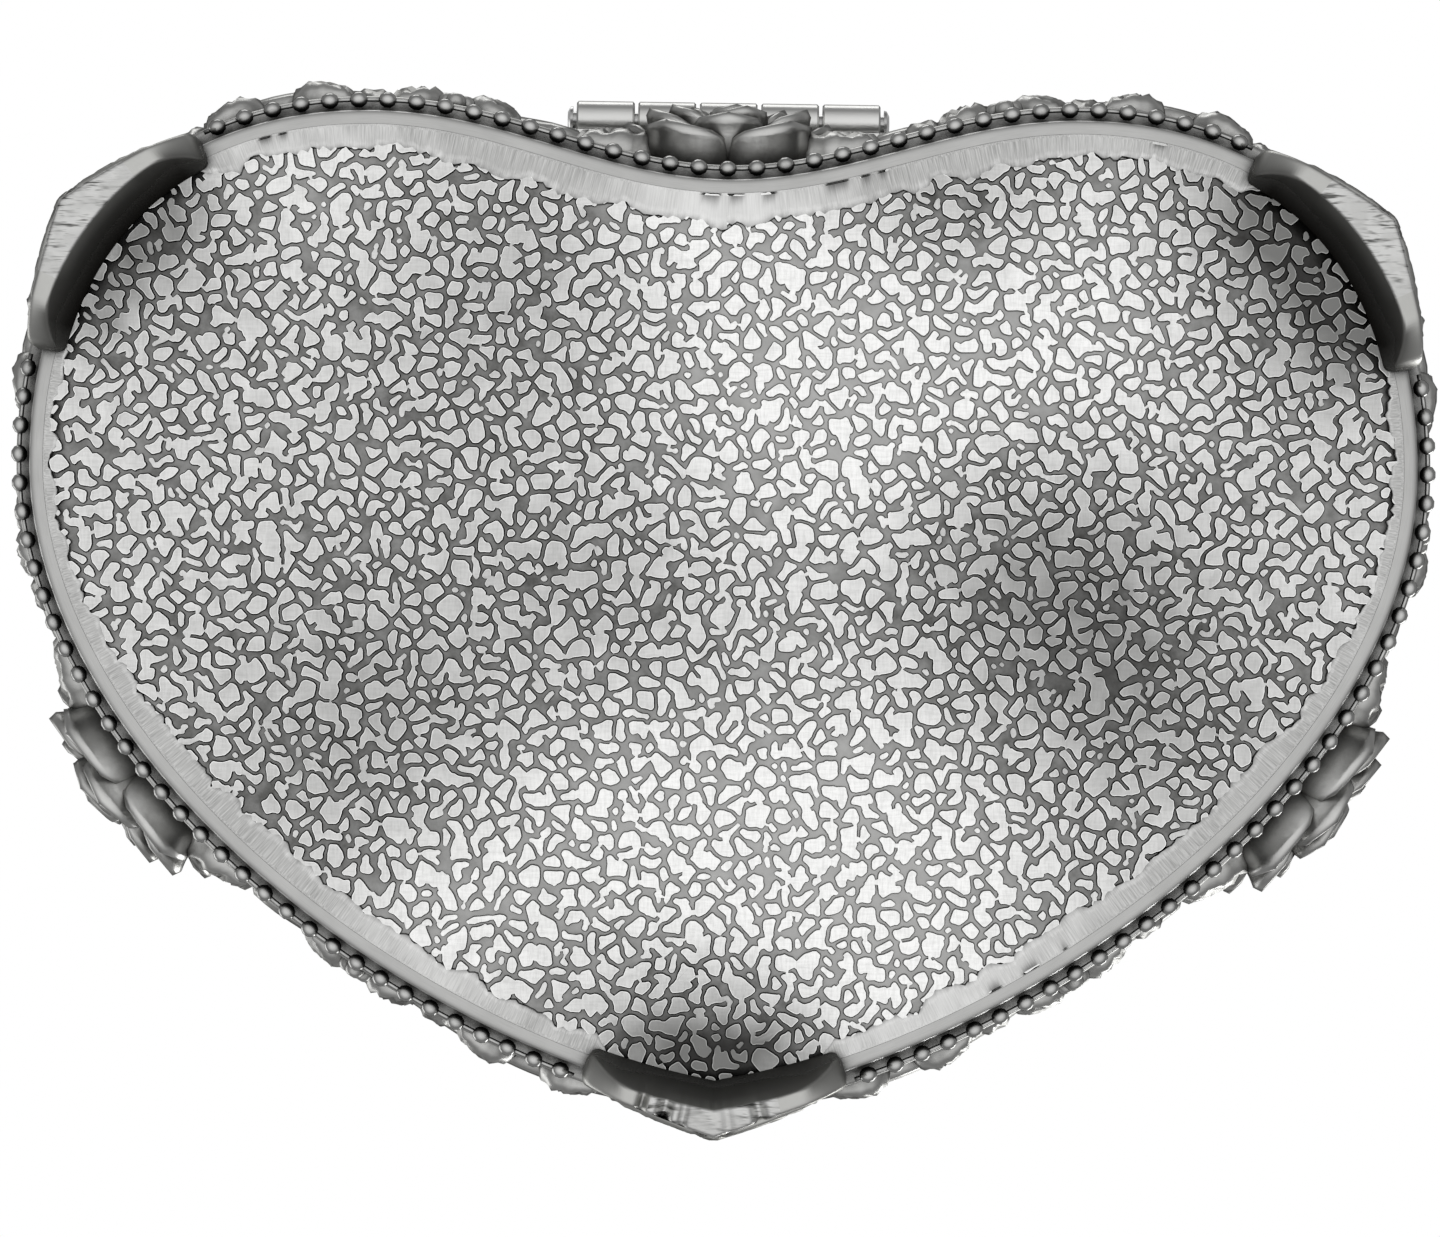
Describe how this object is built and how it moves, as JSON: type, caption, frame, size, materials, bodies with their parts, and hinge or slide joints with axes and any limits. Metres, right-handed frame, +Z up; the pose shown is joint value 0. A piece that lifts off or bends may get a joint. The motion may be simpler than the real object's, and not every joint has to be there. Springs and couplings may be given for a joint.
{
  "type": "heart-shaped trinket box",
  "caption": "Heart-shaped cast metal trinket box on bracket feet, with a hinged domed lid, beaded edges, roses in high relief and a velvet lining.",
  "frame": {"origin": "the middle of the box's footprint, on the plane that the feet stand on", "axes": "+Z up, +X across the lobes of the heart, -Y towards the heart's point at the front"},
  "size_m": [0.0904, 0.0675, 0.0432],
  "materials": {
    "antique_pewter": "cast pewter, polished on the high spots and dark in the recesses",
    "ground_pewter": "pebbled casting with worn bright tops, ground along its edge",
    "pin_steel": "drawn wire",
    "velvet": "short-pile velvet"
  },
  "bodies": {
    "box": {"side_wall": "antique_pewter", "base_plate": "ground_pewter", "foot_right": "ground_pewter", "foot_front": "ground_pewter", "foot_left": "ground_pewter", "beads_right": "antique_pewter", "beads_left": "antique_pewter", "beads_back": "antique_pewter", "rose_right": "antique_pewter", "rose_left": "antique_pewter", "rose_back": "antique_pewter", "floor_pad": "velvet", "wall_lining": "velvet", "hinge_leaf_box": "antique_pewter", "hinge_pin": "pin_steel"},
    "lid": {"lid_shell": "antique_pewter", "lid_beads": "antique_pewter", "lid_rose": "antique_pewter", "lid_rose_right": "antique_pewter", "lid_rose_left": "antique_pewter", "lid_lining": "velvet", "hinge_leaf_lid": "antique_pewter"}
  },
  "joints": [
    {"name": "lid_hinge", "type": "hinge", "parent": "box", "child": "lid", "pos_m": [0, 0.0324, 0.02715], "axis": [-1, 0, 0], "range_deg": [0, 100]}
  ]
}
